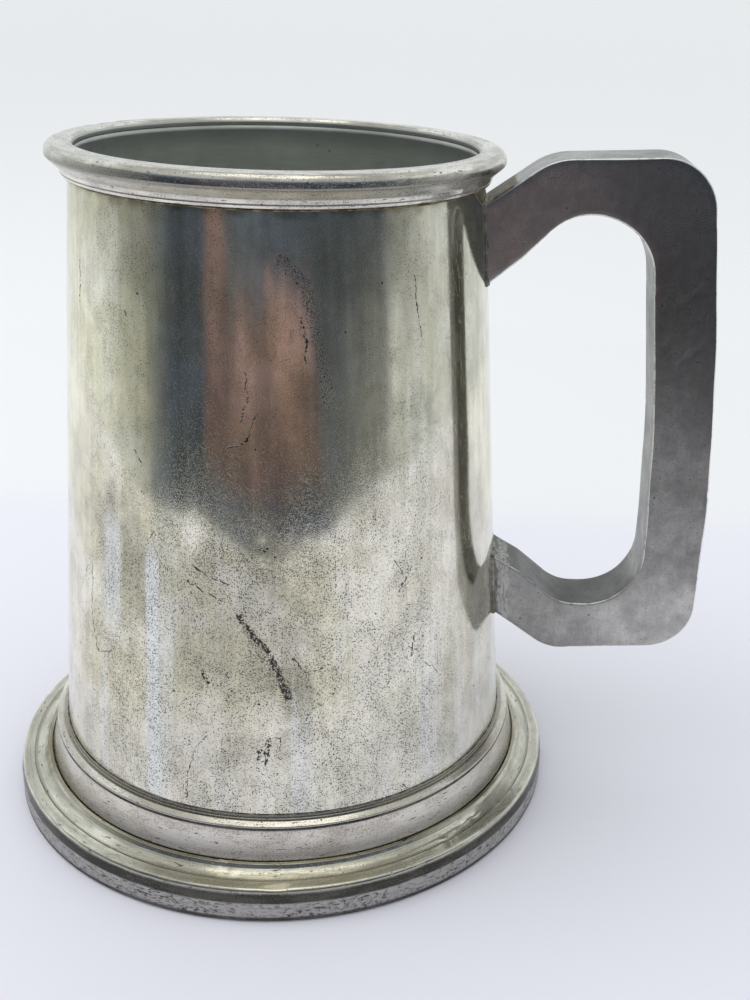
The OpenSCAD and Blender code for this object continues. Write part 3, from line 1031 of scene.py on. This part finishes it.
def make_handle(material):
    outer, inner = handle_lines()
    outer_path, outer_marks = corner_marks(outer)
    inner_path, inner_marks = corner_marks(inner)
    bends = [inner_marks[0], (inner_marks[1] + inner_marks[2]) / 2, inner_marks[3], inner_marks[4],
             inner_marks[5], inner_marks[6], (inner_marks[7] + inner_marks[8]) / 2, inner_marks[9]]
    stations = np.linspace(0, outer_marks[-1], 420)
    far = walk(outer_path, stations)
    near = walk(inner_path, np.interp(stations, outer_marks, bends))
    rings = []
    for i, (a, b) in enumerate(zip(near, far)):
        depth = np.linalg.norm(b - a)
        e = (b - a) / depth
        edge = EDGE * (1 + 0.35 * math.sin(i * 0.11) * math.sin(i * 0.037))
        shape = section(depth, HANDLE_W, edge)
        xz = a + shape[:, :1] * e
        rings.append(np.stack((xz[:, 0], shape[:, 1], xz[:, 1]), 1))
    n = len(rings[0])
    points = np.concatenate(rings)
    centre = points.reshape(-1, n, 3).mean(1, keepdims=True)
    out = points.reshape(-1, n, 3) - centre
    out = (out / np.linalg.norm(out, axis=2, keepdims=True)).reshape(-1, 3)
    slow = 0.02 + 0.02 * wander(points, 11, SEED + 41)
    points = points - out * (slow + knocks(points, 2.4, 0.55, 0.3, SEED + 43))[:, None]
    faces = np.roll(grid_faces(len(rings), n, closed=False)[:, ::-1], 1, axis=1).tolist()
    faces += [range(n)[::-1], range(len(points) - n, len(points))]
    return make_mesh("handle_casting", points, faces, material)


# ---------------- solder


def make_tube(name, centres, sides, ups, sizes, material):
    """A closed bead of solder round a loop of centres. sides and ups span each cross-section."""
    around = 10
    rings = []
    for k in range(around):
        t = 2 * math.pi * k / around
        rings.append(centres + sizes[:, None] * (math.cos(t) * sides + math.sin(t) * ups))
    points = np.stack(rings, 1).reshape(-1, 3)
    return make_mesh(name, points, grid_faces(len(centres), around), material)


def make_ring_seam(name, r, z, half, material, seed):
    """A thin uneven bead of solder round the drum, half thick each way from (r, z)."""
    angle = np.arange(RING_SIDES) * 2 * math.pi / RING_SIDES
    sides = np.stack((np.cos(angle), np.sin(angle), 0 * angle), 1)
    centres = sides * r + np.array((0, 0, z))
    sizes = half * (1 + 0.45 * wander(centres, 3, seed) + 0.2 * wander(centres, 1, seed + 1))
    return make_tube(name, centres, sides, np.tile((0, 0, 1), (RING_SIDES, 1)), sizes, material)


# Points along each level edge of a handle's fillet, and along each upright one
FILLET_ACROSS, FILLET_DOWN = 24, 30


def make_handle_seam(name, end, material, seed):
    """The lumpy fillet where an end of the handle meets the drum. end is 0 for the upper end of
    the handle's lines and -1 for the lower."""
    outer, inner = handle_corners()
    step = 1 if end == 0 else -2
    half = HANDLE_W / 2
    edges = []
    for line in (outer, inner):
        a, b = line[end][:2], line[step][:2]
        edges.append(lambda y, a=a, b=b: to_drum(a, b, 0, y)[1])
    high, low = (edges[0], edges[1]) if end == 0 else (edges[1], edges[0])
    loop = []
    for y, first, last in ((half, high, low), (-half, low, high)):
        loop += [(across, first(across)) for across in np.linspace(-y, y, FILLET_ACROSS)]
        loop += [(y, z) for z in np.linspace(first(half), last(half), FILLET_DOWN)[1:-1]]
    centres, sides = [], []
    for y, z in loop:
        x = math.sqrt(drum_r(z) ** 2 - y * y)
        centres.append((x, y, z))
        sides.append((x / drum_r(z), y / drum_r(z), 0))
    centres, sides = np.array(centres), np.array(sides)
    middle = centres.mean(0)
    ups = centres - middle
    ups -= sides * np.sum(ups * sides, 1)[:, None]
    ups /= np.linalg.norm(ups, axis=1)[:, None]
    lumps = 1 + 0.5 * wander(centres, 2.4, seed) + 0.35 * wander(centres, 0.8, seed + 1)
    return make_tube(name, centres, sides, ups, 0.30 * lumps, material)


# ---------------- build

dull = inside_finish()
rim_pewter = turned_finish("worn_rim_pewter", (0.91, 0.88, 0.78), (0.70, 0.67, 0.59), 0.12, 0.95, rim_grime_and_shade)
band_pewter = turned_finish("base_band_pewter", (0.86, 0.82, 0.735), (0.74, 0.69, 0.59), 0.15, 0.8,
                            band_grime_and_shade, stained=crack_stain)
foot_pewter = turned_finish("foot_pewter", (0.86, 0.83, 0.70), (0.66, 0.64, 0.54), 0.12, 0.6,
                            foot_grime_and_shade, scuffed=rubbed_edge, stained=crack_stain)
tarnished = solder_finish("tarnished_solder", (0.30, 0.26, 0.17), (0.12, 0.09, 0.04))
grey_solder = solder_finish("grey_solder", (0.42, 0.41, 0.38), (0.20, 0.19, 0.16))

under_rim = (drum_r(RIM_Z) + 0.10, RIM_Z, 0.22)
over_band = (drum_r(BAND_TOP) + 0.02, BAND_TOP, 0.10)
over_foot = (BAND_R + 0.07, SEAT_Z + 0.02, 0.10)

for piece, node, slot in [
    (make_drum(drum_finish(), dull), "body_drum", "pewter_drum"),
    (make_rim(rim_pewter, dull), "rim_band", "pewter_rim"),
    (make_band(band_pewter), "base_band", "pewter_base"),
    (make_foot(foot_pewter), "foot_ring", "pewter_foot"),
    (make_floor_plate(dull), "floor_plate", "pewter_inside"),
    (make_handle(handle_finish()), "handle", "pewter_handle"),
    (make_ring_seam("rim_solder_line", *under_rim, tarnished, SEED + 51), "rim_solder_seam", "solder"),
    (make_ring_seam("band_solder_line", *over_band, grey_solder, SEED + 53), "band_solder_seam", "solder"),
    (make_ring_seam("foot_solder_line", *over_foot, tarnished, SEED + 55), "foot_solder_seam", "solder"),
    (make_handle_seam("upper_handle_fillet", 0, grey_solder, SEED + 57), "upper_handle_solder", "solder"),
    (make_handle_seam("lower_handle_fillet", -1, grey_solder, SEED + 59), "lower_handle_solder", "solder"),
]:
    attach(piece, "root")
    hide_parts(node)
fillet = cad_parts["floor_solder_seam"].data.materials
fillet.clear()
fillet.append(dull)

# ---------------- studio


FAR = 60000
ROOM_R, ROOM_H, ROOM_SIDES = 360, 500, 96
JUST_OVER_TABLE = 0.5
TABLE, BACKDROP = (0.800, 0.805, 0.880), (0.835, 0.850, 0.860)
CEILING, CEILING_LAMP = (0.50, 0.51, 0.50), (1.30, 1.30, 1.24)
WARM_PATCH, WARM_PATCH_DARK = (0.345, 0.236, 0.230), (0.205, 0.146, 0.152)


def make_floor():
    """A pale tabletop that turns to a plain pale backdrop colour behind the tankard."""
    f = Finish("pale_table")
    n = f.node("BsdfPrincipled")
    f.put(n.inputs["Base Color"], f.blend(f.ramp(f.y, 112, 150), TABLE, BACKDROP))
    n.inputs["Roughness"].default_value = 0.6
    n.inputs["Specular IOR Level"].default_value = 0.2
    f.tree.links.new(n.outputs[0], f.output.inputs["Surface"])
    corners = [(-FAR, -FAR, 0), (FAR, -FAR, 0), (FAR, FAR, 0), (-FAR, FAR, 0)]
    make_mesh("table", corners, [(0, 1, 2, 3)], f.material)


def only_mirrored(piece):
    """Leave a stage piece to reflections: the camera and the soft light pass through it."""
    for ray in ("camera", "diffuse", "shadow", "transmission", "volume_scatter"):
        setattr(piece, "visible_" + ray, False)


def glow(f, colour):
    n = f.node("Emission")
    f.put(n.inputs["Color"], colour)
    n.inputs["Strength"].default_value = 1
    f.tree.links.new(n.outputs[0], f.output.inputs["Surface"])


# How bright the surroundings are all round, by angle from -Y in degrees, at the tankard's own height
ALL_ROUND = [(-180, 0.88), (-141, 0.78), (-122, 0.72), (-100, 0.56), (-88, 0.47), (-76, 0.31), (-66, 0.25),
             (-57, 0.16), (-44, 0.078), (-31, 0.085), (-20, 0.15), (-6, 0.135), (6, 0.095), (28, 0.085),
             (46, 0.090), (60, 0.105), (63, 0.24), (73, 0.34), (87, 0.52), (104, 0.66), (130, 0.74),
             (180, 0.88)]

# How much brighter than that the surroundings are near the table, as a share
NEAR_TABLE = [(-180, 0), (-141, 0.2), (-120, 0.4), (-100, 0.7), (-76, 0.95), (-62, 1.2), (-52, 0.4),
              (-45, 0), (20, 0), (28, 0.4), (41, 0.9), (55, 1.4), (73, 0.9), (87, 0.3), (104, 0.1),
              (180, 0)]


def bearing(f):
    """Angle from -Y in degrees, positive towards the handle."""
    return f.product(f.math("ARCTAN2", f.x, f.product(f.y, -1)), 180 / math.pi)


def around_level(f):
    """The surroundings' brightness: by bearing low down, a dim belt above, and bright high up."""
    turn = bearing(f)
    extra = f.product(f.table(turn, -180, 180, NEAR_TABLE), f.ramp(f.z, 115, 25))
    low = f.product(f.table(turn, -180, 180, ALL_ROUND), f.total(1, extra))
    belt = f.ramp(f.y, -100, 100, 0.16, 0.60)
    high = f.ramp(f.y, -100, 100, 0.55, 0.95)
    level = f.total(f.product(low, f.ramp(f.z, 185, 218, 1, 0)), f.product(belt, f.ramp(f.z, 185, 218)))
    upper = f.ramp(f.z, 250, 285)
    return f.total(f.product(level, f.minus(1, upper)), f.product(high, upper))


def make_room():
    """What the metal mirrors: walls of many greys and a grey ceiling with one lamp."""
    f = Finish("room")
    wall = f.scaled((0.955, 1, 1.03), around_level(f))
    off = f.vector("DISTANCE", f.mm, (0, -60, ROOM_H))
    ceiling = f.blend(f.ramp(off, 190, 130), CEILING, CEILING_LAMP)
    glow(f, f.blend(f.ramp(f.z, ROOM_H - 2, ROOM_H - 1), wall, ceiling))
    turns = [2 * math.pi * k / ROOM_SIDES for k in range(ROOM_SIDES)]
    points = [(ROOM_R * math.cos(t), ROOM_R * math.sin(t), z)
              for z in (JUST_OVER_TABLE, ROOM_H) for t in turns]
    faces = np.roll(grid_faces(2, ROOM_SIDES, closed=False)[:, ::-1], 1, axis=1).tolist()
    faces.append(range(ROOM_SIDES, 2 * ROOM_SIDES))
    only_mirrored(make_mesh("room", points, faces, f.material))


# Where the flag stands: angle from -Y in degrees and distance from the tankard's axis
FLAG_FOOT = [(-88, 335), (-74, 300), (-58, 268), (-44, 274), (-34, 290), (-24, 272), (-8, 246), (6, 252),
             (18, 272), (28, 272), (38, 300), (50, 325), (66, 345), (90, 352)]
FLAG_H = 270


def make_flag():
    """A soft dark flag on the camera's side, with a warm patch in it."""
    f = Finish("dark_flag")
    turn = bearing(f)
    cloud = f.noise(f.mm, 38, 3, 0.55)
    slant = f.math("MULTIPLY_ADD", f.z, 0.10, turn)
    warm = f.product(f.ramp(turn, -31, -27), f.ramp(slant, 33, 24))
    top = f.total(f.z, f.product(cloud, 60), f.ramp(turn, -26, -16, -70, 0))
    foot = f.total(f.z, f.product(cloud, 24))
    warm = f.product(warm, f.ramp(top, 128, 104), f.ramp(foot, 24, 40))
    brown = f.blend(f.ramp(cloud, 0.40, 0.60), WARM_PATCH, WARM_PATCH_DARK)
    brown = f.shade(brown, f.product(f.ramp(turn, -24, -12, 0.72, 1), f.ramp(f.z, 20, 75, 0.62, 1)))
    level = around_level(f)
    low = f.product(f.table(turn, -180, 180, NEAR_TABLE), f.ramp(f.z, 125, 60), 0.9)
    blue = f.product(f.ramp(turn, -62, -46), f.ramp(turn, 66, 58), f.math("SUBTRACT", 1, low, clamp=True))
    grey = f.blend(blue, f.scaled((0.955, 1, 1), level), f.scaled((0.80, 0.99, 1.36), level))
    grey = f.shade(grey, f.ramp(cloud, 0.35, 0.65, 0.85, 1.15, False))
    glow(f, f.blend(f.product(warm, f.ramp(f.z, 200, 185)), grey, brown))
    angles = np.linspace(FLAG_FOOT[0][0], FLAG_FOOT[-1][0], 161)
    reach = np.interp(angles, *zip(*FLAG_FOOT))
    reach = np.convolve(np.pad(reach, 4, "edge"), np.hanning(11)[1:-1] / np.hanning(11).sum(), "valid")
    points = []
    for turn, r in zip(np.radians(angles), reach):
        points += [(r * math.sin(turn), -r * math.cos(turn), z) for z in (JUST_OVER_TABLE, FLAG_H)]
    faces = [(2 * k, 2 * k + 2, 2 * k + 3, 2 * k + 1) for k in range(len(angles) - 1)]
    only_mirrored(make_mesh("flag", points, faces, f.material))


def make_lamp():
    """A wide soft lamp on the left that gives the faint shadow on the right; the metal doesn't see it."""
    data = bpy.data.lights.new("side_lamp", "AREA")
    data.shape = "SQUARE"
    data.size = 0.5
    data.energy = 1.7
    lamp = bpy.data.objects.new("side_lamp", data)
    bpy.context.scene.collection.objects.link(lamp)
    place, target = Vector((-0.55, -0.05, 0.75)), Vector((0.05, 0, 0))
    lamp.location = place
    lamp.rotation_euler = (target - place).to_track_quat("-Z", "Y").to_euler()
    lamp.visible_glossy = False


def make_world():
    world = bpy.data.worlds.new("soft_studio")
    world.use_nodes = True
    background = world.node_tree.nodes["Background"]
    background.inputs["Color"].default_value = (0.98, 0.99, 1, 1)
    background.inputs["Strength"].default_value = 0.965
    bpy.context.scene.world = world


CAMERA_AT = Vector((30.72, -224.09, 153.46)) * MM
YAW, PITCH, ROLL = (math.radians(a) for a in (-0.334, 23.379, 2.254))
LENS, SENSOR = 44.638, 36
SHIFT = (-0.0586, 0.0113)


def make_camera():
    """The camera at the photograph's place: turned to +X by YAW, down by PITCH, and then rolled."""
    data = bpy.data.cameras.new("camera")
    data.lens, data.sensor_width = LENS, SENSOR
    data.shift_x, data.shift_y = SHIFT
    data.clip_start, data.clip_end = 0.01, 200
    camera = bpy.data.objects.new("camera", data)
    bpy.context.scene.collection.objects.link(camera)
    turn = Matrix.Rotation(-YAW, 4, "Z") @ Matrix.Rotation(math.pi / 2 - PITCH, 4, "X")
    camera.matrix_world = Matrix.Translation(CAMERA_AT) @ turn @ Matrix.Rotation(ROLL, 4, "Z")
    bpy.context.scene.camera = camera


make_floor()
make_room()
make_flag()
make_lamp()
make_world()
make_camera()
bpy.context.scene.view_settings.view_transform = "Standard"
